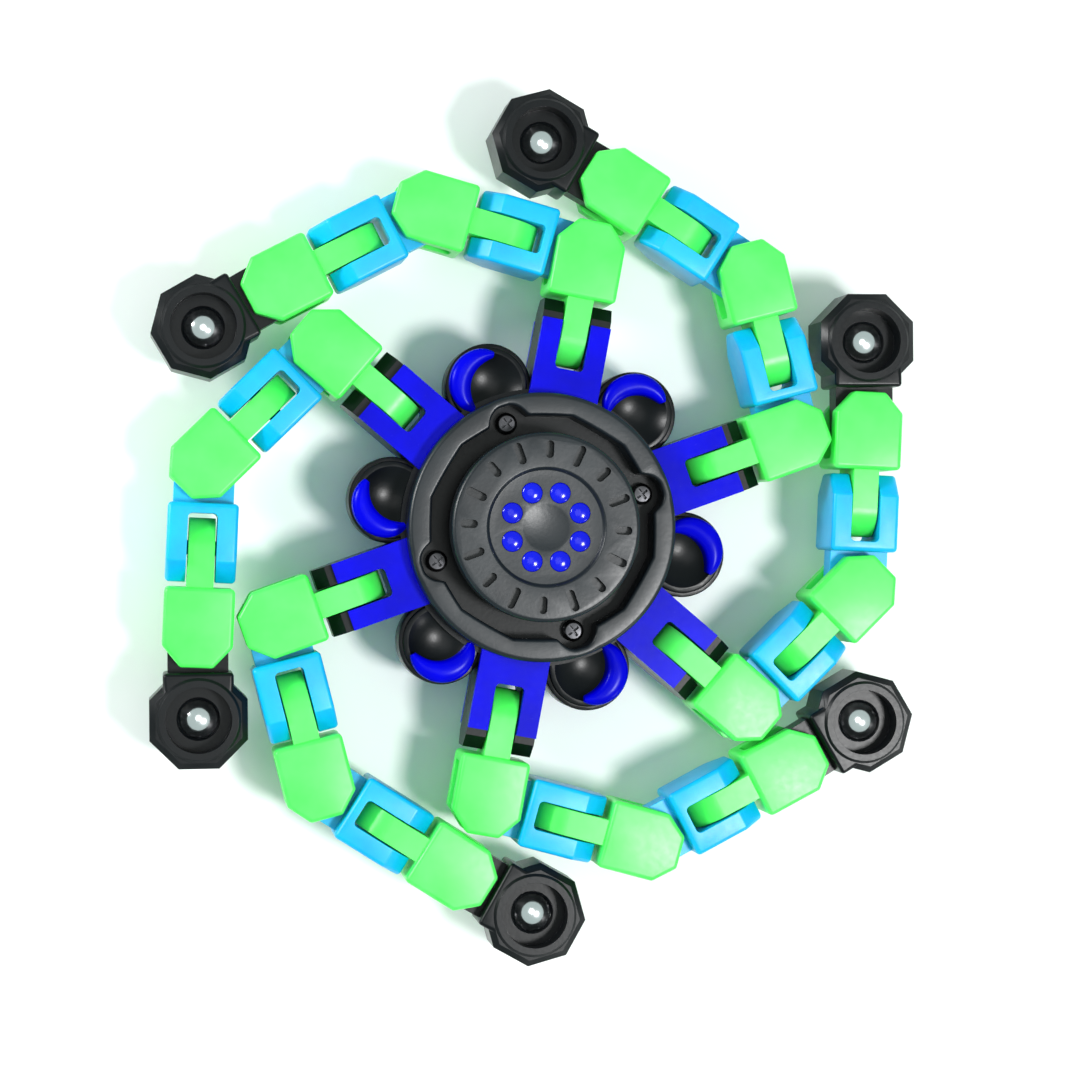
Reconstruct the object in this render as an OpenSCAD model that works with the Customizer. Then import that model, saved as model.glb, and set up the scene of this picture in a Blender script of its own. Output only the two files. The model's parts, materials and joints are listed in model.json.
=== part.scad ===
// Chain-arm fidget spinner: a bearing hub with six snap-together link arms that end in ball weights.

/* [Arms] */
// Number of arms round the hub
arm_count = 6; // [6:1:6]
// Azimuth of the first hub fork, degrees
arm_azimuth = 19.5; // [0:0.5:59]
// Distance between the two pins of one link
link_pitch = 14; // [12:0.1:18]
// Width and height of a link
link_w = 11.6; // [9:0.1:13]
// Radius of the circle that the root pins lie on
root_pin_r = 32.5; // [31.5:0.1:40]

/* [Stored curl] */
// Bend of each arm's first swing joint as stored, degrees
bend_first = 85; // [60:1:90]
// Bend of each arm's second swing joint as stored, degrees
bend_second = 43; // [20:1:60]
// Bend of each arm's weight as stored, degrees
bend_weight = 3; // [-5:1:10]

/* [Link joint] */
// Thickness of a tongue
tongue_t = 4.4; // [3:0.1:5.5]
// Play between a tongue and each cheek of its fork
side_play = 0.25; // [0.1:0.05:0.5]
// Radius of a tongue's round end
tongue_r = 5; // [4:0.1:5.5]
// Gap between a tongue's round end and the bottom of its slot
slot_gap = 0.75; // [0.4:0.05:1.2]
// Distance from a fork's pin to its tip
fork_tip = 5.7; // [5:0.1:6]
// Width of the flat at a fork's tip
tip_flat = 5.4; // [4:0.1:7]
// Length of the slanted corners of a fork's tip
tip_slant = 3.5; // [2:0.1:4.5]
// Gap between a fork's swept tip and the next link's shoulder
shoulder_gap = 0.24; // [0.15:0.01:0.6]
// Radius of a joint pin
pin_r = 1.2; // [0.8:0.05:1.8]
// Radial play of a joint pin in its hole
pin_play = 0.05; // [0.02:0.01:0.1]
// Height of a joint pin above its cheek
pin_h = 1.3; // [0.8:0.1:1.6]
// Radius of the thrust pad round a joint pin
thrust_r = 2.2; // [1.6:0.1:3]
// Height of the thrust pad
thrust_h = 0.15; // [0.05:0.01:0.2]
// Radius in the inner corners of a slot
slot_corner_r = 0.8; // [0.3:0.1:1.2]
// Bevel on the long edges of a link
link_bevel = 0.6; // [0.2:0.1:1.2]

/* [Weights] */
// Width of the octagonal weight across its flats
weight_flats = 16.1; // [14:0.1:19]
// Distance from a weight's pin to the centre of its ball
weight_reach = 14.3; // [13:0.1:18]
// Bevel round the octagon
weight_bevel = 1; // [0.4:0.1:1.6]
// Outer diameter of the raised round rim
rim_d = 13.9; // [12:0.1:15.5]
// Wall of the raised round rim
rim_wall = 1.5; // [0.8:0.1:2.5]
// Height of the rim above the octagon
rim_h = 0.5; // [0.2:0.1:1.2]
// Thickness of the web that holds the ball
web_t = 3.6; // [2.5:0.1:5]
// Diameter of the steel ball
ball_d = 8; // [6:0.1:9.5]
// Play between the ball and its socket
ball_play = 0.03; // [0.01:0.01:0.08]

/* [Bearing] */
// Bore of the ball bearing
bearing_bore = 8; // [6:0.5:10]
// Outer diameter of the ball bearing
bearing_od = 22; // [20:0.5:26]
// Width of the ball bearing
bearing_w = 7; // [5:0.5:9]
// Number of bearing balls
race_balls = 7; // [6:1:8]
// Diameter of a bearing ball
race_ball_d = 3.97; // [3:0.01:4.5]
// Running play of a ball in its raceways and its cage pocket
race_play = 0.03; // [0.01:0.01:0.06]
// Thickness of a bearing shield
shield_t = 0.3; // [0.2:0.05:0.5]
// Radial play of press fits
press_play = 0.01; // [0:0.005:0.05]

/* [Hub] */
// Half thickness of the black hub at its forks and lobes
fork_half = 4.6; // [3.8:0.1:5.4]
// Thickness of the blue covers on the forks
cover_t = 1.3; // [0.8:0.1:2]
// Length of each cover past the root pin
cover_past_pin = 2.3; // [1:0.1:3.5]
// Outer diameter of the black ring
ring_od = 44.7; // [42:0.1:48]
// Inner diameter of the black ring
ring_id = 38.4; // [35:0.1:40]
// Height of the black ring above the middle plane
ring_top = 10; // [8:0.1:11.5]
// Bevel of the black ring's outer edge
ring_bevel = 1.1; // [0.4:0.1:2]
// Bevel of the black ring's inner edge
ring_inner_bevel = 1.3; // [0.4:0.1:2]
// Radius of the round notches in the ring's inner edge
notch_r = 3.3; // [2:0.1:4]
// Azimuth of the first notch, degrees
notch_azimuth = 18; // [0:1:89]
// Ring wall left outside a notch
notch_wall = 1.3; // [0.8:0.1:2]
// Radius of the six round lobes
lobe_r = 7.2; // [6:0.1:8]
// Radius of the circle that the lobes lie on
lobe_pitch_r = 25; // [23:0.1:27]
// Width of the thin flange round a lobe
lobe_flange = 0.7; // [0.3:0.1:1.2]
// Depth of a lobe's bowl
bowl_depth = 2; // [1:0.1:3]
// Diameter of a screw head
screw_head_d = 3.6; // [2.5:0.1:5]
// Diameter of a screw shank
screw_d = 2; // [1.5:0.1:3]

/* [Finger pads] */
// Diameter of a finger pad
pad_d = 31.2; // [26:0.1:36]
// Height of a finger pad's face above the middle plane
pad_face = 14; // [12:0.1:17]
// Depth of a finger pad from its face to its skirt's edge
pad_depth = 4.6; // [3:0.1:6]
// Wall of a finger pad
pad_wall = 1.9; // [1.2:0.1:3]
// Diameter of the sunken centre
centre_d = 19.1; // [16:0.1:20]
// Depth of the sunken centre
centre_depth = 0.6; // [0.3:0.1:1]
// Depth of the dish in the middle of the sunken centre
dish_depth = 0.4; // [0.1:0.1:0.8]
// Bevel of a pad's outer edge
pad_bevel = 0.7; // [0.3:0.1:1.2]
// Number of coloured dots
dot_count = 8; // [6:1:10]
// Diameter of a coloured dot
dot_d = 3.4; // [2:0.1:4]
// Radius of the circle that the dots lie on
dot_pitch_r = 6.07; // [5:0.01:7]
// Number of slots in a pad
slot_count = 16; // [8:2:24]
// Width of a pad slot
slot_w = 1.15; // [0.6:0.05:2]
// Length of the longer and the shorter pad slots
slot_lengths = [3.7, 2.8]; // [1.5:0.1:4.5]
// Radius of the circle that the slots lie on
slot_pitch_r = 12.8; // [11:0.1:14]
// Depth of a pad slot
slot_depth = 0.8; // [0.3:0.1:1.2]
// Azimuth of the first, longer slot, degrees
slot_azimuth = 20; // [0:0.5:45]

/* [Hidden] */
$fn = 64;
eps = 0.01;

arms = [for (k = [1 : arm_count]) k];
LINKS = ["green1", "blue1", "green2", "blue2", "green3", "weight", "ball"];
HUB = [
    "hub_shell_upper", "hub_shell_lower", "accent_upper", "accent_lower", "ring_upper", "ring_lower",
    "hub_screws", "bearing_outer_race", "bearing_inner_race", "bearing_balls", "bearing_cage",
    "bearing_shields", "cap_upper", "cap_lower", "cap_dots_upper", "cap_dots_lower"
];

black = "#1c1f22";
green = "#50ff6e";
cyan = "#12b4f0";
blue = "#0a12e0";
steel = "#c8ccd0";

// Links
half = link_w / 2;
slot_t = tongue_t + 2 * side_play;
slot_back = tongue_r + slot_gap;
tip_reach = max(norm([fork_tip, tip_flat / 2]), norm([fork_tip - tip_slant, half]));
shoulder = tip_reach + shoulder_gap;
weight_half = half - rim_h / 2;
pin_root = 0.5;

// Bearing
race_pitch_r = (bearing_bore + bearing_od) / 4;
race_shoulder = race_ball_d * 0.36;
shield_gap = 0.15;
shield_inset = 0.1;
cage_half_w = 0.75;
cage_z = [0.4, race_ball_d / 2 + 0.55];
seat_half = bearing_w / 2;
seat_lip = 1;

// Hub, heights from the middle plane
cover_top = fork_half + cover_t;
lobe_top = fork_half - 0.4;
flange_top = lobe_top - 0.8;
lobe_rim = 0.9;
lobe_bevel = 0.3;
fin_floor = lobe_top - 1.6;
fin_top = cover_top + 0.5;
fin_from = 128;
fin_to = -27;
fin_steps = 16;
fin_outer = [lobe_r - 1.8, lobe_r - 0.4];
fin_inner = [lobe_r - 3.9, lobe_r - 2.9];
lip_r = ring_od / 2 - notch_wall;
collar_r = lip_r + 0.05;
collar_outer_r = ring_od / 2 - 0.1;
collar_gap = 0.15;
core_r = ring_od / 2 + 0.85;
screw_pitch_r = lip_r - notch_r + 0.4;
screw_tip = -fork_half + 1;
screw_play = 0.05;
screw_head_h = 1.2;
screw_cone_h = 0.5;

// Finger pads, heights from the middle plane
pad_r = pad_d / 2;
dot_floor = pad_face - centre_depth;
dot_top = pad_face - 0.05;
dot_seat = dot_floor - 1;
spacer_r = bearing_bore / 2 + 1.4;
post_r = bearing_bore / 2 - press_play;
peg_r = 2;
peg_len = 2.6;
peg_play = 0.04;
post_gap = 0.1;
dish_margin = 0.3;
skirt_bevel = 0.4;

// The part's origin is the centre of the lower pad's face.
middle = pad_face;

module lifted() translate([0, 0, middle]) children();

module round_hub(n, start) {
    for (k = [0 : n - 1]) rotate([0, 0, start + 360 / n * k]) children();
}

// A bar along X with the fork's octagonal tip in plan and bevelled long edges
module link_block(x0, x1, h, slant) {
    k = (half - tip_flat / 2);
    intersection() {
        linear_extrude(h, center = true)
            polygon([
                [x0, -half], [x1 - slant, -half], [x1, -half + k],
                [x1, half - k], [x1 - slant, half], [x0, half]
            ]);
        rotate([90, 0, 90]) linear_extrude(x1 + 1) bevelled_square(link_w, h, link_bevel);
        rotate([90, 0, 0]) linear_extrude(link_w + 2, center = true)
            translate([(x0 + x1) / 2, 0]) bevelled_square(x1 - x0, h, link_bevel);
    }
}

module bevelled_square(w, h, b) {
    polygon([
        [-w / 2 + b, -h / 2], [w / 2 - b, -h / 2], [w / 2, -h / 2 + b], [w / 2, h / 2 - b],
        [w / 2 - b, h / 2], [-w / 2 + b, h / 2], [-w / 2, h / 2 - b], [-w / 2, -h / 2 + b]
    ]);
}

// The slot of a fork whose pin is at the origin; the slot is flat in Z and open towards +X
module fork_slot() {
    long = fork_tip + slot_back + 1;
    c = slot_corner_r;
    translate([-slot_back + c, -half - 1, -slot_t / 2]) cube([long, link_w + 2, slot_t]);
    translate([-slot_back, -half - 1, -slot_t / 2 + c]) cube([c + eps, link_w + 2, slot_t - 2 * c]);
    for (s = [-1, 1]) {
        translate([-slot_back + c, 0, s * (slot_t / 2 - c)]) rotate([90, 0, 0])
            cylinder(link_w + 2, r = c, center = true);
    }
}

// The two pins of a fork, on its cheeks, along Z
module fork_pins() {
    for (s = [0, 1]) mirror([0, 0, s]) {
        translate([0, 0, slot_t / 2 - pin_h]) cylinder(pin_h + pin_root, r = pin_r);
        translate([0, 0, slot_t / 2 - thrust_h]) cylinder(thrust_h + pin_root, r = thrust_r);
    }
}

// A tongue with its pin at the origin and its pin hole along Z, joined to whatever starts at x
module tongue(x) {
    difference() {
        union() {
            cylinder(tongue_t, r = tongue_r, center = true);
            translate([0, -tongue_r, -tongue_t / 2]) cube([x + 1, 2 * tongue_r, tongue_t]);
        }
        cylinder(tongue_t + 1, r = pin_r + pin_play, center = true);
    }
}

// A link lies along X with its tongue's pin at the origin: the pin is along Y, and the fork's pin along Z.
module link() {
    difference() {
        link_block(shoulder, link_pitch + fork_tip, link_w, tip_slant);
        translate([link_pitch, 0, 0]) fork_slot();
    }
    translate([link_pitch, 0, 0]) fork_pins();
    rotate([90, 0, 0]) tongue(shoulder);
}

module weight_body() {
    difference() {
        union() {
            intersection() {
                translate([weight_reach, 0, 0]) bevelled_octagon();
                translate([shoulder + link_bevel, -weight_flats, -link_w])
                    cube([2 * weight_flats, 2 * weight_flats, 2 * link_w]);
            }
            link_block(shoulder, weight_reach, link_w - rim_h, 0);
            translate([weight_reach, 0, 0]) cylinder(link_w + rim_h, d = rim_d, center = true);
        }
        translate([weight_reach, 0, 0]) {
            for (s = [0, 1]) mirror([0, 0, s])
                translate([0, 0, web_t / 2]) cylinder(link_w, d = rim_d - 2 * rim_wall);
            sphere(r = ball_d / 2 + ball_play);
        }
    }
    tongue(shoulder);
}

// Octagonal prism, bevelled round both faces, as the common part of four bevelled bars
module bevelled_octagon() {
    intersection_for(a = [0 : 3]) rotate([0, 0, 45 * a]) rotate([90, 0, 0])
        linear_extrude(2 * weight_flats, center = true)
            bevelled_square(weight_flats, 2 * weight_half, weight_bevel);
}

// Places its children in the frame of link n (0 to 5) of arm k, as stored
module on_arm(k, n) {
    bends = [0, bend_first, 0, bend_second, 0, bend_weight];
    rotate([0, 0, arm_azimuth + 360 / arm_count * (k - 1)]) translate([root_pin_r, 0, 0])
        chain(bends, n) children();
}

module chain(bends, n) {
    rotate([0, 0, bends[0]]) {
        if (n == 0) children();
        else translate([link_pitch, 0, 0])
            chain([for (i = [1 : len(bends) - 1]) bends[i]], n - 1) children();
    }
}

module green_link(k, n) color(green) lifted() on_arm(k, n) link();

module blue_link(k, n) color(cyan) lifted() on_arm(k, n) rotate([90, 0, 0]) link();

module weight(k) color(black) lifted() on_arm(k, 5) weight_body();

module ball(k) color(steel) lifted() on_arm(k, 5) translate([weight_reach, 0, 0]) sphere(d = ball_d);

// Hub fork, its root pin at [root_pin_r, 0, 0] along Y
module hub_fork() {
    k = tip_slant * (fork_half - tip_flat / 2) / (half - tip_flat / 2);
    x1 = root_pin_r + fork_tip;
    difference() {
        rotate([90, 0, 0]) linear_extrude(link_w, center = true) polygon([
            [0, -fork_half], [x1 - k, -fork_half], [x1, -tip_flat / 2],
            [x1, tip_flat / 2], [x1 - k, fork_half], [0, fork_half]
        ]);
        translate([root_pin_r, 0, 0]) rotate([90, 0, 0]) fork_slot();
    }
    translate([root_pin_r, 0, 0]) rotate([90, 0, 0]) fork_pins();
}

module lobe() {
    bowl_r = lobe_r - lobe_flange - lobe_rim;
    sphere_r = (bowl_r * bowl_r + bowl_depth * bowl_depth) / (2 * bowl_depth);
    translate([lobe_pitch_r, 0, 0]) difference() {
        rotate_extrude() polygon([
            [0, 0], [lobe_r, 0], [lobe_r, flange_top - lobe_bevel], [lobe_r - lobe_bevel, flange_top],
            [lobe_r - lobe_flange, flange_top], [lobe_r - lobe_flange, lobe_top - lobe_bevel],
            [lobe_r - lobe_flange - lobe_bevel, lobe_top], [0, lobe_top]
        ]);
        translate([0, 0, lobe_top - bowl_depth + sphere_r]) sphere(r = sphere_r, $fn = 96);
    }
}

// Crescent outline of a fin, in its lobe's frame: X points outwards and +Y is the way the arms curl
module fin_outline() {
    angles = [for (i = [0 : fin_steps]) fin_from + (fin_to - fin_from) * i / fin_steps];
    polygon(concat(
        [for (a = angles) fin_reach(a, fin_outer) * [cos(a), sin(a)]],
        [for (i = [fin_steps : -1 : 0]) fin_reach(angles[i], fin_inner) * [cos(angles[i]), sin(angles[i])]]
    ));
}

// Radius of a fin's edge at an angle round its lobe, growing from its start to its tip
function fin_reach(a, ends) = ends[0] + (ends[1] - ends[0]) * (fin_from - a) / (fin_from - fin_to);

module fin(top) translate([lobe_pitch_r, 0, fin_floor]) linear_extrude(top - fin_floor) fin_outline();

// Upper half of the hub, or the lower half before it is mirrored; its screw holes end at a height
module hub_half(hole_end) {
    difference() {
        union() {
            cylinder(fork_half, r = core_r);
            intersection() {
                round_hub(arm_count, arm_azimuth) hub_fork();
                cylinder(fork_half + 1, r = root_pin_r + fork_tip + 1);
            }
            round_hub(arm_count, arm_azimuth + 180 / arm_count) lobe();
        }
        round_hub(arm_count, arm_azimuth + 180 / arm_count) fin(fin_top + 1);
        translate([0, 0, -eps]) cylinder(seat_half + eps, d = bearing_od + 2 * press_play);
        translate([0, 0, -eps]) cylinder(fork_half + 1, d = bearing_od - 2 * seat_lip);
        round_hub(4, notch_azimuth) translate([screw_pitch_r, 0, -eps])
            cylinder(hole_end + eps, r = screw_d / 2 + screw_play);
    }
}

module hub_shell_upper() color(black) lifted() hub_half(fork_half + 1);

module hub_shell_lower() color(black) lifted() mirror([0, 0, 1]) hub_half(screw_play - screw_tip);

// Blue collar with its fork covers and fins
module accent() {
    difference() {
        union() {
            translate([0, 0, fork_half + collar_gap])
                cylinder(cover_t - 2 * collar_gap, r = collar_outer_r);
            round_hub(arm_count, arm_azimuth) translate([0, -half, fork_half])
                cube([root_pin_r + cover_past_pin, link_w, cover_t]);
            round_hub(arm_count, arm_azimuth + 180 / arm_count) fin(fin_top);
        }
        translate([0, 0, -1]) cylinder(ring_top, r = collar_r);
        round_hub(arm_count, arm_azimuth) translate([root_pin_r, 0, 0]) rotate([90, 0, 0]) fork_slot();
    }
}

module accent_upper() color(blue) lifted() accent();

module accent_lower() color(blue) lifted() mirror([0, 0, 1]) accent();

// Black ring with its bevelled edges and four notches
module ring() {
    ro = ring_od / 2;
    ri = ring_id / 2;
    difference() {
        rotate_extrude($fn = 128) polygon([
            [ri, fork_half], [lip_r, fork_half], [lip_r, cover_top], [ro, cover_top],
            [ro, ring_top - ring_bevel], [ro - ring_bevel, ring_top],
            [ri + ring_inner_bevel, ring_top], [ri, ring_top - ring_inner_bevel]
        ]);
        round_hub(4, notch_azimuth) translate([lip_r - notch_r, 0, 0]) cylinder(ring_top + 1, r = notch_r);
    }
}

module ring_upper() color(black) lifted() ring();

module ring_lower() color(black) lifted() mirror([0, 0, 1]) ring();

module hub_screws() {
    color(steel) lifted() round_hub(4, notch_azimuth) translate([screw_pitch_r, 0, 0]) {
        translate([0, 0, screw_tip]) cylinder(fork_half - screw_tip + eps, d = screw_d);
        translate([0, 0, fork_half]) cylinder(screw_head_h, d = screw_head_d);
        translate([0, 0, fork_half + screw_head_h])
            cylinder(screw_cone_h, d1 = screw_head_d, d2 = screw_head_d - 2 * screw_cone_h);
    }
}

// Bearing
module raceway() {
    rotate_extrude($fn = 96) translate([race_pitch_r, 0]) circle(r = race_ball_d / 2 + race_play);
}

module race(r0, r1) {
    difference() {
        translate([0, 0, -bearing_w / 2]) difference() {
            cylinder(bearing_w, r = r1);
            translate([0, 0, -1]) cylinder(bearing_w + 2, r = r0);
        }
        raceway();
    }
}

module bearing_inner_race() color(steel) lifted() race(bearing_bore / 2, race_pitch_r - race_shoulder);

module bearing_outer_race() color(steel) lifted() race(race_pitch_r + race_shoulder, bearing_od / 2);

module bearing_balls() {
    color(steel) lifted() round_hub(race_balls, 0) translate([race_pitch_r, 0, 0]) sphere(d = race_ball_d);
}

module bearing_cage() {
    color(steel) lifted() difference() {
        rotate_extrude($fn = 96) translate([race_pitch_r - cage_half_w, cage_z[0]])
            square([2 * cage_half_w, cage_z[1] - cage_z[0]]);
        round_hub(race_balls, 0) translate([race_pitch_r, 0, 0]) sphere(d = race_ball_d + 2 * race_play);
    }
}

module bearing_shields() {
    r0 = race_pitch_r - race_shoulder + shield_gap;
    r1 = race_pitch_r + race_shoulder;
    color(steel) lifted() for (s = [0, 1]) mirror([0, 0, s])
        translate([0, 0, bearing_w / 2 - shield_t - shield_inset]) difference() {
            cylinder(shield_t, r = r1);
            translate([0, 0, -1]) cylinder(shield_t + 2, r = r0);
        }
}

// Finger pads
module pad_slots() {
    for (k = [0 : slot_count - 1]) {
        long = slot_lengths[k % 2] - slot_w;
        rotate([0, 0, slot_azimuth + 360 / slot_count * k])
            translate([slot_pitch_r, 0, pad_face - slot_depth]) {
                translate([-long / 2, -slot_w / 2, 0]) cube([long, slot_w, slot_depth + 1]);
                for (s = [-1, 1]) translate([s * long / 2, 0, 0]) cylinder(slot_depth + 1, d = slot_w);
            }
    }
}

module pad_body() {
    step_r = centre_d / 2;
    step_bevel = centre_depth / 2;
    skirt = pad_face - pad_depth;
    roof = pad_face - pad_wall;
    dish_r = dot_pitch_r - dot_d / 2 - dish_margin;
    dish_sphere = (dish_r * dish_r + dish_depth * dish_depth) / (2 * dish_depth);
    difference() {
        rotate_extrude($fn = 96) polygon([
            [0, seat_half], [spacer_r, seat_half], [spacer_r, roof], [pad_r - pad_wall, roof],
            [pad_r - pad_wall, skirt], [pad_r - skirt_bevel, skirt], [pad_r, skirt + skirt_bevel],
            [pad_r, pad_face - pad_bevel], [pad_r - pad_bevel, pad_face],
            [step_r + step_bevel, pad_face], [step_r, pad_face - step_bevel],
            [step_r, dot_floor], [0, dot_floor]
        ]);
        pad_slots();
        round_hub(dot_count, 180 / dot_count) translate([dot_pitch_r, 0, dot_seat])
            cylinder(2, r = dot_d / 2 + press_play);
        translate([0, 0, dot_floor - dish_depth + dish_sphere]) sphere(r = dish_sphere, $fn = 96);
    }
}

module cap_upper() {
    color(black) lifted() {
        pad_body();
        translate([0, 0, post_gap]) cylinder(seat_half - post_gap + eps, r = post_r);
        translate([0, 0, -peg_len]) cylinder(peg_len + post_gap + eps, r = peg_r);
    }
}

module cap_lower() {
    color(black) lifted() mirror([0, 0, 1]) {
        pad_body();
        difference() {
            translate([0, 0, post_gap]) cylinder(seat_half - post_gap + eps, r = post_r);
            translate([0, 0, -1]) cylinder(peg_len + 1.2, r = peg_r + peg_play);
        }
    }
}

// Domed dots: each is a plug with a rounded top
module dots() {
    dome = dot_top - dot_floor;
    dome_r = (dot_d * dot_d / 4 + dome * dome) / (2 * dome);
    round_hub(dot_count, 180 / dot_count) translate([dot_pitch_r, 0, 0]) intersection() {
        translate([0, 0, dot_seat]) cylinder(dot_top - dot_seat, d = dot_d);
        translate([0, 0, dot_top - dome_r]) sphere(r = dome_r, $fn = 96);
    }
}

module cap_dots_upper() color(blue) lifted() dots();

module cap_dots_lower() color(blue) lifted() mirror([0, 0, 1]) dots();

hub_shell_upper();
hub_shell_lower();
accent_upper();
accent_lower();
ring_upper();
ring_lower();
hub_screws();
bearing_outer_race();
bearing_inner_race();
bearing_balls();
bearing_cage();
bearing_shields();
cap_upper();
cap_lower();
cap_dots_upper();
cap_dots_lower();
for (k = arms) {
    green_link(k, 0);
    blue_link(k, 1);
    green_link(k, 2);
    blue_link(k, 3);
    green_link(k, 4);
    weight(k);
    ball(k);
}
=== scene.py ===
import json
import math

import bmesh
import bpy
from mathutils import Matrix, Vector


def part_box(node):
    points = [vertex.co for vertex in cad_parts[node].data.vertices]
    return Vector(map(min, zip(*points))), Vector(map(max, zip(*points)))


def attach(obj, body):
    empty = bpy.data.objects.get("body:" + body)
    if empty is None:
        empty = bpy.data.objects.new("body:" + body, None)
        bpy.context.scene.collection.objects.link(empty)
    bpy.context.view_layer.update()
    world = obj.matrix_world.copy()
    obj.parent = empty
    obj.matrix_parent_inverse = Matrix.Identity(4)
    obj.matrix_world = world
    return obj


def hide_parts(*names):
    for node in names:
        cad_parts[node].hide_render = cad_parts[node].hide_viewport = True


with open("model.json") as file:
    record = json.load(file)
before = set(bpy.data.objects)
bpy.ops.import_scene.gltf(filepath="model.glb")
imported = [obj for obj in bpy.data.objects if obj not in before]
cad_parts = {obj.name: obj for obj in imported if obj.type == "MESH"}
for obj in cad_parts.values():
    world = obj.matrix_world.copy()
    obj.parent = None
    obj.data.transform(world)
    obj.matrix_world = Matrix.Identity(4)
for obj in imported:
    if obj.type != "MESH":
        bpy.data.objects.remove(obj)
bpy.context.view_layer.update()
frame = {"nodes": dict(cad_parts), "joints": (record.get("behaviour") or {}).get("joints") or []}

# Sizes in millimetres, heights from the middle plane, as in the CAD model
MM = 0.001
MIDDLE = 14.0
PITCH = 14.0
HALF = 5.8
SHOULDER = 6.55
TIP = 5.7
TIP_HALF = 2.7
SLANT = 3.5
SLOT_HALF = 2.45
SLOT_BACK = 5.75
SLOT_CORNER = 0.8
TONGUE_HALF = 2.2
TONGUE_R = 5.0
PIN_R = 1.2
HOLE_R = 1.25
PIN_H = 1.3
REACH = 14.3
WEIGHT_AF = 16.1
WEIGHT_HALF = 5.55
BALL_R = 4.0
ROOT_R = 32.5
ARM_AZ = 19.5
FORK_HALF = 4.6
COVER_TOP = 5.9
LOBE_AT = 25.0
LOBE_R = 7.2
RING_R = 22.35
RING_IN = 18.5
RING_TOP = 10.0
RING_SEAT = 21.05
RING_THIN = 0.1
RING_LOW = 4.62
NOTCH_AZ = 18.0
NOTCH_AT = 17.75
NOTCH_R = 3.3
SCREW_AT = 18.15
PAD_R = 15.6
PAD_FACE = 14.0
DOT_AT = 6.07
DOT_R = 1.7


# Mesh helpers, all in millimetres
def deg(a):
    return math.radians(a)


def polar(r, a):
    return (r * math.cos(deg(a)), r * math.sin(deg(a)))


def turn(axis, a):
    return Matrix.Rotation(deg(a), 4, axis)


def move(x, y, z):
    return Matrix.Translation((x, y, z))


def loft(loops, closed=False):
    """Closed mesh from loops of equally many points.

    closed joins the last loop to the first; otherwise both ends get caps."""
    bm = bmesh.new()
    rows = [[bm.verts.new(p) for p in loop] for loop in loops]
    n = len(rows[0])
    last = len(rows) if closed else len(rows) - 1
    for i in range(last):
        a, b = rows[i], rows[(i + 1) % len(rows)]
        for j in range(n):
            bm.faces.new((a[j], a[(j + 1) % n], b[(j + 1) % n], b[j]))
    if not closed:
        bm.faces.new(list(reversed(rows[0])))
        bm.faces.new(rows[-1])
    return to_mesh(bm)


def to_mesh(bm):
    bmesh.ops.recalc_face_normals(bm, faces=bm.faces[:])
    mesh = bpy.data.meshes.new("m")
    bm.to_mesh(mesh)
    bm.free()
    return mesh


def prism(points, z0, z1, place=None):
    mesh = loft([[(x, y, z0) for x, y in points], [(x, y, z1) for x, y in points]])
    if place is not None:
        mesh.transform(place)
    return mesh


def lathe(profile, n=96, place=None):
    """Solid of revolution of a profile of (radius, height); points on the axis are merged."""
    loops = []
    for k in range(n):
        a = 2 * math.pi * k / n
        loops.append([(r * math.cos(a), r * math.sin(a), z) for r, z in profile])
    bm = bmesh.new()
    rows = [[bm.verts.new(p) for p in loop] for loop in loops]
    m = len(profile)
    for i in range(n):
        a, b = rows[i], rows[(i + 1) % n]
        for j in range(m):
            bm.faces.new((a[j], b[j], b[(j + 1) % m], a[(j + 1) % m]))
    bmesh.ops.remove_doubles(bm, verts=bm.verts[:], dist=1e-5)
    bmesh.ops.dissolve_degenerate(bm, edges=bm.edges[:], dist=1e-5)
    bmesh.ops.delete(bm, geom=[e for e in bm.edges if not e.link_faces], context="EDGES")
    mesh = to_mesh(bm)
    if place is not None:
        mesh.transform(place)
    return mesh


def rounded(profile, radii, steps=4):
    """A profile whose corners are rounded by the radius given for each point."""
    out = []
    n = len(profile)
    for i, (p, r) in enumerate(zip(profile, radii)):
        if not r:
            out.append(p)
            continue
        corner = Vector(p)
        a, b = Vector(profile[i - 1]) - corner, Vector(profile[(i + 1) % n]) - corner
        a.normalize()
        b.normalize()
        half = math.acos(max(-1, min(1, a.dot(b)))) / 2
        cut = r / math.tan(half)
        centre = corner + (a + b).normalized() * (r / math.sin(half))
        start, end = corner + a * cut - centre, corner + b * cut - centre
        first = math.atan2(start.y, start.x)
        sweep = (math.atan2(end.y, end.x) - first + math.pi) % (2 * math.pi) - math.pi
        for s in range(steps + 1):
            t = first + sweep * s / steps
            out.append((centre.x + r * math.cos(t), centre.y + r * math.sin(t)))
    return out


def inset(outline, d):
    """A convex outline, listed counter-clockwise, moved inwards by d."""
    out = []
    n = len(outline)
    for i in range(n):
        p, q, r = Vector(outline[i - 1]), Vector(outline[i]), Vector(outline[(i + 1) % n])
        u, v = (q - p).normalized(), (r - q).normalized()
        m, k = Vector((-u.y, u.x)), Vector((-v.y, v.x))
        out.append(tuple(q + (m + k) * (d / (1 + m.dot(k)))))
    return out


def cushion(outline, z0, z1, bevel, corner, steps=5):
    """A prism of a convex outline with its upright edges rounded by corner and its rims by bevel."""
    levels = []
    for s in range(steps + 1):
        a = math.pi / 2 * s / steps
        levels.append((z0 + bevel * (1 - math.sin(a)), bevel * (1 - math.cos(a))))
    levels = levels[::-1] + [(z0 + z1 - z, d) for z, d in levels]
    loops = []
    for z, d in levels:
        flat = rounded(inset(outline, d), [max(corner - d, 0.02)] * len(outline))
        loops.append([(x, y, z) for x, y in flat])
    return loft(loops)


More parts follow.
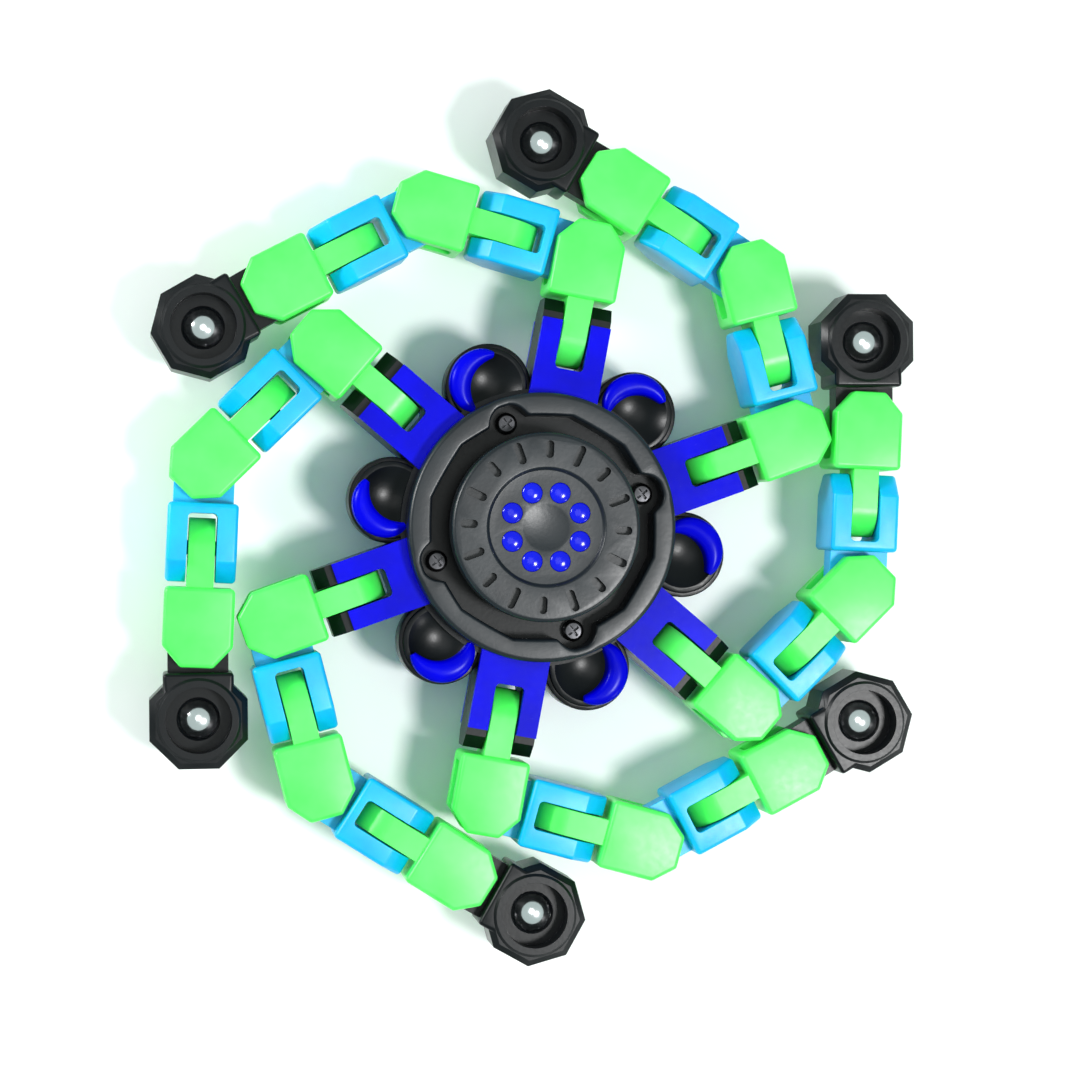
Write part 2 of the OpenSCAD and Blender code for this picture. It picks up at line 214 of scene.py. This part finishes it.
def disc(r, n=48, x=0.0, y=0.0):
    return [(x + r * math.cos(2 * math.pi * k / n), y + r * math.sin(2 * math.pi * k / n)) for k in range(n)]


def combine(base, *steps):
    """base after boolean steps of ("UNION" or "DIFFERENCE", mesh), cleaned of flat seams."""
    made = [bpy.data.objects.new("base", base)]
    bpy.context.scene.collection.objects.link(made[0])
    for op, mesh in steps:
        tool = bpy.data.objects.new("tool", mesh)
        bpy.context.scene.collection.objects.link(tool)
        made.append(tool)
        mod = made[0].modifiers.new("b", "BOOLEAN")
        mod.operation = op
        mod.solver = "EXACT"
        mod.object = tool
    bpy.context.view_layer.update()
    graph = bpy.context.evaluated_depsgraph_get()
    mesh = bpy.data.meshes.new_from_object(made[0].evaluated_get(graph))
    for o in made:
        bpy.data.objects.remove(o)
    bm = bmesh.new()
    bm.from_mesh(mesh)
    bmesh.ops.remove_doubles(bm, verts=bm.verts[:], dist=1e-4)
    bmesh.ops.dissolve_limit(bm, angle_limit=deg(0.5), verts=bm.verts[:], edges=bm.edges[:])
    return to_mesh(bm)


def joined(*meshes):
    bm = bmesh.new()
    for mesh in meshes:
        bm.from_mesh(mesh)
    return to_mesh(bm)


def moved(mesh, place):
    mesh = mesh.copy()
    mesh.transform(place)
    return mesh


def mirrored(mesh):
    mesh = mesh.copy()
    mesh.transform(Matrix.Scale(-1, 4, (0, 0, 1)))
    mesh.flip_normals()
    return mesh


def round_hub(mesh, n, start):
    return [moved(mesh, turn("Z", start + 360 / n * k)) for k in range(n)]


def piece(name, mesh, material, body, nodes, bevel=0.0, segments=3, place=None, angle=35):
    """Turns a millimetre mesh into a piece of the object that rides on its body and replaces CAD nodes."""
    if not mesh.get("metric"):
        mesh.transform(Matrix.Scale(MM, 4))
        mesh["metric"] = 1
        mesh.materials.append(material)
        mesh.shade_smooth()
        if not bevel:
            mesh.set_sharp_from_angle(angle=deg(angle))
    obj = bpy.data.objects.new(name, moved(mesh, move(0, 0, MIDDLE * MM) if place is None else place))
    bpy.context.scene.collection.objects.link(obj)
    if bevel:
        mod = obj.modifiers.new("bevel", "BEVEL")
        mod.width = bevel * MM
        mod.segments = segments
        mod.limit_method = "ANGLE"
        mod.angle_limit = deg(angle)
        mod.harden_normals = True
        mod.miter_outer = "MITER_ARC"
    bpy.context.view_layer.update()
    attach(obj, body)
    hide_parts(*nodes)
    return obj


# Materials
def plastic(
    name, slot, colour, dark, rough, sss=0.0, sss_radius=(1, 1, 1), coat=0.0, bump=0.03, grain=900, spec=0.5
):
    mat = bpy.data.materials.new(name)
    mat["slot"] = slot
    mat.use_nodes = True
    nodes, links = mat.node_tree.nodes, mat.node_tree.links
    shader = nodes["Principled BSDF"]
    shader.inputs["Subsurface Weight"].default_value = sss
    shader.inputs["Subsurface Radius"].default_value = sss_radius
    shader.inputs["Subsurface Scale"].default_value = 0.0022
    shader.inputs["Coat Weight"].default_value = coat
    shader.inputs["Coat Roughness"].default_value = 0.08
    shader.inputs["Specular IOR Level"].default_value = spec
    coord = nodes.new("ShaderNodeTexCoord")
    cloud = nodes.new("ShaderNodeTexNoise")
    cloud.inputs["Scale"].default_value = 140
    cloud.inputs["Detail"].default_value = 3
    links.new(coord.outputs["Object"], cloud.inputs["Vector"])
    ramp = nodes.new("ShaderNodeValToRGB")
    ramp.color_ramp.elements[0].position = 0.3
    ramp.color_ramp.elements[0].color = (*dark, 1)
    ramp.color_ramp.elements[1].position = 0.7
    ramp.color_ramp.elements[1].color = (*colour, 1)
    links.new(cloud.outputs["Fac"], ramp.inputs["Fac"])
    links.new(ramp.outputs["Color"], shader.inputs["Base Color"])
    fine = nodes.new("ShaderNodeTexNoise")
    fine.inputs["Scale"].default_value = grain
    fine.inputs["Detail"].default_value = 4
    links.new(coord.outputs["Object"], fine.inputs["Vector"])
    spread = nodes.new("ShaderNodeMapRange")
    spread.inputs["To Min"].default_value = rough - 0.05
    spread.inputs["To Max"].default_value = rough + 0.07
    links.new(fine.outputs["Fac"], spread.inputs["Value"])
    links.new(spread.outputs["Result"], shader.inputs["Roughness"])
    relief = nodes.new("ShaderNodeBump")
    relief.inputs["Strength"].default_value = bump
    relief.inputs["Distance"].default_value = 0.0002
    links.new(fine.outputs["Fac"], relief.inputs["Height"])
    links.new(relief.outputs["Normal"], shader.inputs["Normal"])
    return mat


def metal(name, slot, colour, rough, stretch):
    mat = bpy.data.materials.new(name)
    mat["slot"] = slot
    mat.use_nodes = True
    nodes, links = mat.node_tree.nodes, mat.node_tree.links
    shader = nodes["Principled BSDF"]
    shader.inputs["Base Color"].default_value = (*colour, 1)
    shader.inputs["Metallic"].default_value = 1.0
    coord = nodes.new("ShaderNodeTexCoord")
    place = nodes.new("ShaderNodeMapping")
    place.inputs["Scale"].default_value = stretch
    links.new(coord.outputs["Object"], place.inputs["Vector"])
    fine = nodes.new("ShaderNodeTexNoise")
    fine.inputs["Scale"].default_value = 700
    fine.inputs["Detail"].default_value = 3
    links.new(place.outputs["Vector"], fine.inputs["Vector"])
    spread = nodes.new("ShaderNodeMapRange")
    spread.inputs["To Min"].default_value = rough * 0.6
    spread.inputs["To Max"].default_value = rough * 1.6
    links.new(fine.outputs["Fac"], spread.inputs["Value"])
    links.new(spread.outputs["Result"], shader.inputs["Roughness"])
    relief = nodes.new("ShaderNodeBump")
    relief.inputs["Strength"].default_value = 0.01
    relief.inputs["Distance"].default_value = 0.0001
    links.new(fine.outputs["Fac"], relief.inputs["Height"])
    links.new(relief.outputs["Normal"], shader.inputs["Normal"])
    return mat


GREEN = plastic(
    "green_link", "green_plastic", (0.10, 1.0, 0.14), (0.06, 0.90, 0.09), 0.34, 0.6, (0.5, 1.0, 0.55),
    0.0, 0.04,
    spec=0.45
)
CYAN = plastic(
    "cyan_link", "cyan_plastic", (0.0, 0.45, 0.84), (0.0, 0.36, 0.74), 0.34, 0.4, (0.2, 0.7, 1.0), 0.0, 0.04,
    spec=0.35
)
BLUE = plastic("blue_accent", "blue_plastic", (0.0, 0.0, 0.60), (0.0, 0.0, 0.42), 0.24, bump=0.03, spec=0.08)
DOT = plastic("blue_dot", "blue_plastic", (0.0, 0.006, 0.60), (0.0, 0.002, 0.48), 0.14, bump=0.01, spec=0.35)
BLACK = plastic(
    "satin_black", "black_plastic", (0.008, 0.012, 0.016), (0.003, 0.005, 0.008), 0.34, bump=0.07, grain=1600,
    spec=0.42
)
# Painted shade: a darker copy of the black plastic, so the deep gap inside the rim renders black; also used
# for the weight bodies
PAINTED_SHADE_BLACK = plastic(
    "black_painted_shade", "black_plastic", (0.003, 0.004, 0.005), (0.001, 0.002, 0.003), 0.30, bump=0.05, grain=1600,
    spec=0.22
)
CHROME = metal("chrome_ball", "steel", (0.92, 0.93, 0.95), 0.14, (1, 1, 1))
SCREW = metal("screw_steel", "steel", (0.06, 0.06, 0.065), 0.34, (1, 1, 1))
BEARING = metal("bearing_steel", "bearing_steel", (0.56, 0.57, 0.58), 0.22, (1, 1, 12))


# Links
def slot_mesh(x0, x1, depth):
    """A slot of a fork, open towards +X and flat in Z, from x0 to x1 and depth wide in Y."""
    c = SLOT_CORNER
    outline = [(x1, -SLOT_HALF), (x1, SLOT_HALF)]
    for k in range(7):
        a = 90 + 15 * k
        outline.append((x0 + c + c * math.cos(deg(a)), SLOT_HALF - c + c * math.sin(deg(a))))
    for k in range(7):
        a = 180 + 15 * k
        outline.append((x0 + c + c * math.cos(deg(a)), -SLOT_HALF + c + c * math.sin(deg(a))))
    return prism(outline, -depth, depth, turn("X", 90))


def pins(x, reach):
    """The two pins of a fork, along Z at x."""
    out = []
    for s in (1, -1):
        z0, z1 = sorted((s * (SLOT_HALF - PIN_H), s * reach))
        out.append(("UNION", prism(disc(PIN_R, 32, x), z0, z1)))
    return out


def tongue_mesh():
    """Tongue with its hole along Z at the origin, reaching into the block behind it."""
    outline = [polar(TONGUE_R, 90 + 7.5 * k) for k in range(25)]
    x = SHOULDER + 0.6
    plate = prism([(x, TONGUE_R)] + outline + [(x, -TONGUE_R)], -TONGUE_HALF, TONGUE_HALF)
    return combine(plate, ("DIFFERENCE", prism(disc(HOLE_R, 32), -HALF, HALF)))


def block_outline():
    x1 = PITCH + TIP
    return [
        (SHOULDER, -HALF), (x1 - SLANT, -HALF), (x1, -TIP_HALF),
        (x1, TIP_HALF), (x1 - SLANT, HALF), (SHOULDER, HALF),
    ]


def link_mesh():
    return combine(
        cushion(block_outline(), -HALF, HALF, 0.7, 0.8),
        ("DIFFERENCE", slot_mesh(PITCH - SLOT_BACK, PITCH + TIP + 2, HALF + 1)),
        *pins(PITCH, SLOT_HALF + 0.5),
        ("UNION", moved(tongue_mesh(), turn("X", 90))),
    )


def weight_mesh():
    def octagon(af):
        return [polar(af / 2 / math.cos(deg(22.5)), 22.5 + 45 * k) for k in range(8)]

    loops = []
    for z, inset in ((-WEIGHT_HALF, 1.0), (-WEIGHT_HALF + 1, 0), (WEIGHT_HALF - 1, 0), (WEIGHT_HALF, 1.0)):
        loops.append([(x + REACH, y, z) for x, y in octagon(WEIGHT_AF - 2 * inset)])
    neck = [(SHOULDER, -HALF), (REACH, -HALF), (REACH, HALF), (SHOULDER, HALF)]
    behind = [(SHOULDER - 3, -9), (SHOULDER + 0.6, -9), (SHOULDER + 0.6, 9), (SHOULDER - 3, 9)]
    rim = lathe(
        [(0, -6.05), (6.55, -6.05), (6.95, -5.65), (6.95, 5.65), (6.55, 6.05), (0, 6.05)],
        64, move(REACH, 0, 0),
    )
    wells = [
        ("DIFFERENCE", prism(disc(5.45, 64, REACH), z0, z1)) for z0, z1 in ((1.8, 8), (-8, -1.8))
    ]
    ball = bmesh.new()
    bmesh.ops.create_uvsphere(ball, u_segments=48, v_segments=32, radius=BALL_R + 0.03)
    ball.transform(move(REACH, 0, 0))
    return combine(
        loft(loops),
        ("DIFFERENCE", prism(behind, -9, 9)),
        ("UNION", cushion(neck, -WEIGHT_HALF, WEIGHT_HALF, 0.6, 0.6)),
        ("UNION", rim),
        *wells,
        ("DIFFERENCE", to_mesh(ball)),
        ("UNION", tongue_mesh()),
    )


def ball_mesh():
    bm = bmesh.new()
    bmesh.ops.create_icosphere(bm, subdivisions=5, radius=BALL_R)
    bmesh.ops.translate(bm, verts=bm.verts[:], vec=(REACH, 0, 0))
    return to_mesh(bm)


LINK = link_mesh()
LINK_CYAN = moved(LINK, turn("X", 90))
WEIGHT = weight_mesh()
BALL = ball_mesh()

into = {j["child"]: Vector(j["pos_m"]) for j in frame["joints"]}
for k in range(1, 7):
    arm = f"arm{k}_"
    order = ["green1", "blue1", "green2", "blue2", "green3", "weight"]
    starts = [into[arm + n] for n in order]
    low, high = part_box(arm + "ball")
    ends = starts[1:] + [(low + high) / 2]
    for n, start, end in zip(order, starts, ends):
        way = end - start
        place = Matrix.Translation(start) @ Matrix.Rotation(math.atan2(way.y, way.x), 4, "Z")
        if n == "weight":
            piece(arm + "weight_body", WEIGHT, PAINTED_SHADE_BLACK, arm + n, [arm + n], 0.35, place=place)
            piece(arm + "steel_ball", BALL, CHROME, arm + n, [arm + "ball"], place=place)
        elif n.startswith("green"):
            piece(arm + n + "_link", LINK, GREEN, arm + n, [arm + n], 0.25, 3, place, 50)
        else:
            piece(arm + n + "_link", LINK_CYAN, CYAN, arm + n, [arm + n], 0.25, 3, place, 50)


# Hub
def fork_mesh():
    k = SLANT * (FORK_HALF - TIP_HALF) / (HALF - TIP_HALF)
    x1 = ROOT_R + TIP
    side = [(16, -2), (16, FORK_HALF), (x1 - k, FORK_HALF), (x1, TIP_HALF), (x1, -2)]
    body = prism([(x, z) for x, z in side], -HALF, HALF, turn("X", 90))
    slot = moved(slot_mesh(ROOT_R - SLOT_BACK, x1 + 2, HALF + 1), turn("X", 90))
    peg = [("UNION", moved(m, turn("X", 90))) for _, m in pins(ROOT_R, SLOT_HALF + 0.5)]
    keep = prism([(10, -HALF - 1), (x1 + 1, -HALF - 1), (x1 + 1, HALF + 1), (10, HALF + 1)], 0, 9)
    return combine(body, ("DIFFERENCE", slot), *peg, ("INTERSECT", keep))


def lobe_mesh():
    top, flange, rim, bowl = 4.2, 3.4, LOBE_R - 0.7, LOBE_R - 1.6
    sphere = (bowl * bowl + 4) / 4
    dish = []
    for s in range(13):
        r = bowl * s / 12
        dish.append((r, top - 2 + sphere - math.sqrt(sphere * sphere - r * r)))
    outer = [
        (rim - 0.35, top), (rim - 0.1, top - 0.1), (rim, top - 0.35), (rim, flange), (LOBE_R - 0.25, flange),
        (LOBE_R - 0.07, flange - 0.07), (LOBE_R, flange - 0.25), (LOBE_R, 0), (0, 0),
    ]
    return lathe(dish + outer, 96, move(LOBE_AT, 0, 0))


def fin_mesh():
    """Crescent fin in its lobe's frame, +X outwards, domed across and thinning towards both ends."""
    loops = []
    steps = 36
    first, sweep, low, dome = 128, 155, 2.7, 1.0
    for i in range(steps + 1):
        t = i / steps
        a = first - sweep * t
        outer, inner = 6.5 + 0.6 * t, 2.9 + 0.5 * t
        squeeze = math.sin(math.pi * (0.03 + 0.94 * t)) ** 0.55
        mid, half = (outer + inner) / 2, (outer - inner) / 2 * squeeze
        top = 4.2 + 2.2 * (0.55 + 0.45 * squeeze) * (0.8 + 0.2 * t)
        section = [(mid - half, low), (mid - half, top - dome)]
        for s in range(9):
            b = math.pi * (1 - s / 8)
            section.append((mid + half * math.cos(b), top - dome + dome * math.sin(b)))
        section += [(mid + half, low)]
        loops.append([(r * math.cos(deg(a)) + LOBE_AT, r * math.sin(deg(a)), z) for r, z in section])
    return loft(loops)


def hub_shell_mesh():
    core = lathe([(10, 0), (23.2, 0), (23.2, FORK_HALF), (10, FORK_HALF)], 128)
    steps = [("UNION", m) for m in round_hub(fork_mesh(), 6, ARM_AZ)]
    steps += [("UNION", m) for m in round_hub(lobe_mesh(), 6, ARM_AZ + 30)]
    return combine(core, *steps)


def cover_mesh():
    x1 = ROOT_R + 2.3
    bar = prism([(20, -HALF), (x1, -HALF), (x1, HALF), (20, HALF)], FORK_HALF, COVER_TOP)
    slot = moved(slot_mesh(ROOT_R - SLOT_BACK, x1 + 2, 9), turn("X", 90))
    return combine(bar, ("DIFFERENCE", slot))


def accent_mesh():
    collar = lathe([(21.1, 4.75), (22.25, 4.75), (22.25, 5.75), (21.1, 5.75)], 128)
    steps = [("UNION", m) for m in round_hub(cover_mesh(), 6, ARM_AZ)]
    steps += [("UNION", m) for m in round_hub(fin_mesh(), 6, ARM_AZ + 30)]
    inside = ("DIFFERENCE", prism(disc(21.1, 128), 0, 12))
    return combine(collar, *steps, inside)


def ring_edge(a):
    """Inner radius of the ring at azimuth a: soft facets with four round notches blended in."""
    near = (a + 15) % 30 - 15
    r = RING_IN + RING_IN * (1 / math.cos(deg(near)) - 1) * 0.75
    off = (a - NOTCH_AZ + 45) % 90 - 45
    s = NOTCH_AT * math.sin(deg(off))
    if abs(s) < NOTCH_R:
        notch = NOTCH_AT * math.cos(deg(off)) + math.sqrt(NOTCH_R**2 - s * s)
    else:
        notch = 0
    blend = 0.35
    both = math.exp((r - RING_IN) / blend) + math.exp((notch - RING_IN) / blend)
    return min(RING_IN + blend * math.log(both), RING_SEAT - RING_THIN)


def ring_mesh():
    loops = []
    n = 360
    for i in range(n):
        a = 360 * i / n
        ri = ring_edge(a)
        wall = RING_R - ri
        bi = min(0.6, wall * 0.4)
        bo = min(0.8, wall * 0.4)
        section = [(RING_SEAT, RING_LOW), (ri, RING_LOW)]
        for s in range(7):
            b = math.pi / 2 * s / 6
            section.append((ri + bi * (1 - math.cos(b)), RING_TOP - bi + bi * math.sin(b)))
        for s in range(6):
            b = math.pi / 2 * s / 5
            section.append((RING_R - bo + bo * math.sin(b), RING_TOP - bo + bo * math.cos(b)))
        section += [(RING_R, COVER_TOP), (RING_SEAT, COVER_TOP)]
        loops.append([(r * math.cos(deg(a)), r * math.sin(deg(a)), z) for r, z in section])
    return loft(loops, closed=True)


def screws_mesh():
    profile = rounded(
        [(0, -3.6), (1, -3.6), (1, 4.6), (1.8, 4.6), (1.8, 5.7), (1.35, 6.25), (0, 6.3)],
        [0, 0, 0, 0, 0.3, 0.2, 0],
    )
    screw = lathe(profile, 40)
    for a in (0, 90):
        bar = prism([(-1.05, -0.22), (1.05, -0.22), (1.05, 0.22), (-1.05, 0.22)], 5.5, 7, turn("Z", a + 20))
        screw = combine(screw, ("DIFFERENCE", bar))
    return joined(*round_hub(moved(screw, move(SCREW_AT, 0, 0)), 4, NOTCH_AZ))


def pad_mesh():
    dish = []
    dish_r, depth = 4.07, 0.4
    sphere = (dish_r**2 + depth**2) / (2 * depth)
    for s in range(13):
        r = dish_r * s / 12
        dish.append((r, PAD_FACE - 0.6 - depth + sphere - math.sqrt(sphere * sphere - r * r)))
    outer = [
        (9.4, PAD_FACE - 0.6), (9.85, PAD_FACE), (PAD_R, PAD_FACE), (PAD_R, 9.4), (13.7, 9.4), (13.7, 12.1),
        (5.4, 12.1), (5.4, 3.5), (3.99, 3.5), (3.99, 0.1), (0, 0.1),
    ]
    radii = [0.2, 0.35, 0.7, 0.4, 0.3, 0.5, 0.5, 0.2, 0, 0.2, 0]
    full = rounded([dish[-1]] + outer, [0] + radii)
    pad = lathe(dish[:-1] + full, 160)
    steps = []
    for k in range(16):
        end = 0.68
        long = (3.7, 2.9)[k % 2] / 2 - end
        outline = [(long + end * math.cos(deg(a)), end * math.sin(deg(a))) for a in range(-90, 91, 18)]
        outline += [(-long + end * math.cos(deg(a)), end * math.sin(deg(a))) for a in range(90, 271, 18)]
        place = turn("Z", 20 + 22.5 * k) @ move(12.8, 0, 0)
        steps.append(("DIFFERENCE", prism(outline, PAD_FACE - 1.7, PAD_FACE + 1, place)))
    for k in range(8):
        place = turn("Z", 22.5 + 45 * k) @ move(DOT_AT, 0, 0)
        steps.append(("DIFFERENCE", prism(disc(DOT_R + 0.05, 40), 12.4, PAD_FACE, place)))
    return combine(pad, *steps)


def dots_mesh():
    profile = [(0, 12.4), (DOT_R, 12.4), (DOT_R, 13.35)]
    for s in range(1, 11):
        a = math.pi / 2 * s / 10
        profile.append((DOT_R * math.cos(a), 13.35 + 0.6 * math.sin(a)))
    dot = lathe(profile, 48, move(DOT_AT, 0, 0))
    return joined(*round_hub(dot, 8, 22.5))


SHELL = hub_shell_mesh()
ACCENT = accent_mesh()
RING = ring_mesh()
PAD = pad_mesh()
DOTS = dots_mesh()


def half(mesh, side):
    return mirrored(mesh) if side == "lower" else mesh.copy()


for side in ("upper", "lower"):
    piece("shell_" + side, half(SHELL, side), PAINTED_SHADE_BLACK, "hub", ["hub_shell_" + side], 0.3)
    piece("cover_" + side, half(ACCENT, side), BLUE, "hub", ["accent_" + side], 0.3, 3)
    piece("rim_" + side, half(RING, side), BLACK, "hub", ["ring_" + side])
    piece("pad_" + side, half(PAD, side), BLACK, "pads", ["cap_" + side], 0.12, 2)
    piece("dots_" + side, half(DOTS, side), DOT, "pads", ["cap_dots_" + side])
piece("screws", screws_mesh(), SCREW, "hub", ["hub_screws"], 0.08, 2)

for name, node in frame["nodes"].items():
    if name.startswith("bearing_"):
        node.data.materials.clear()
        node.data.materials.append(BEARING)


# Stage, lights and camera
def area(name, at, size, power, aim=(0, 0, 0.014), colour=(1, 1, 1)):
    data = bpy.data.lights.new(name, "AREA")
    data.shape = "DISK"
    data.size = size
    data.energy = power
    data.color = colour
    obj = bpy.data.objects.new(name, data)
    bpy.context.scene.collection.objects.link(obj)
    obj.location = at
    obj.rotation_euler = (Vector(aim) - Vector(at)).to_track_quat("-Z", "Y").to_euler()
    return obj


floor = bpy.data.objects.new("floor", prism([(-1.5, -1.5), (1.5, -1.5), (1.5, 1.5), (-1.5, 1.5)], -0.01, 0))
bpy.context.scene.collection.objects.link(floor)
paper = bpy.data.materials.new("paper")
paper.use_nodes = True
paper.node_tree.nodes["Principled BSDF"].inputs["Base Color"].default_value = (0.93, 0.93, 0.93, 1)
paper.node_tree.nodes["Principled BSDF"].inputs["Roughness"].default_value = 0.9
floor.data.materials.append(paper)

area("key", (0.27, -0.16, 0.75), 0.15, 4.8)
area("side", (-0.42, 0.16, 0.24), 0.14, 1.9)
area("low", (0.34, -0.34, 0.20), 0.10, 0.3)
area("top", (-0.05, 0.05, 1.0), 0.5, 0.9)

world = bpy.data.worlds.new("world")
bpy.context.scene.world = world
world.use_nodes = True
world.node_tree.nodes["Background"].inputs["Color"].default_value = (0.80, 0.97, 0.93, 1)
world.node_tree.nodes["Background"].inputs["Strength"].default_value = 0.55

scene = bpy.context.scene
scene.view_settings.view_transform = "Standard"
scene.view_settings.look = "None"
scene.view_settings.exposure = 0.0

data = bpy.data.cameras.new("camera")
data.lens = 90
data.sensor_width = 36
data.clip_start = 0.01
camera = bpy.data.objects.new("camera", data)
scene.collection.objects.link(camera)
tilt = deg(8)
back = Vector((-math.sin(tilt), 0, math.cos(tilt)))
right = Vector((0, 1, 0)).cross(back)
up = back.cross(right)
aim = Vector((0.0000, -0.0021, 0.020))
at = aim + back * 0.450
camera.matrix_world = Matrix(
    (
        (right.x, up.x, back.x, at.x),
        (right.y, up.y, back.y, at.y),
        (right.z, up.z, back.z, at.z),
        (0, 0, 0, 1),
    )
)
scene.camera = camera
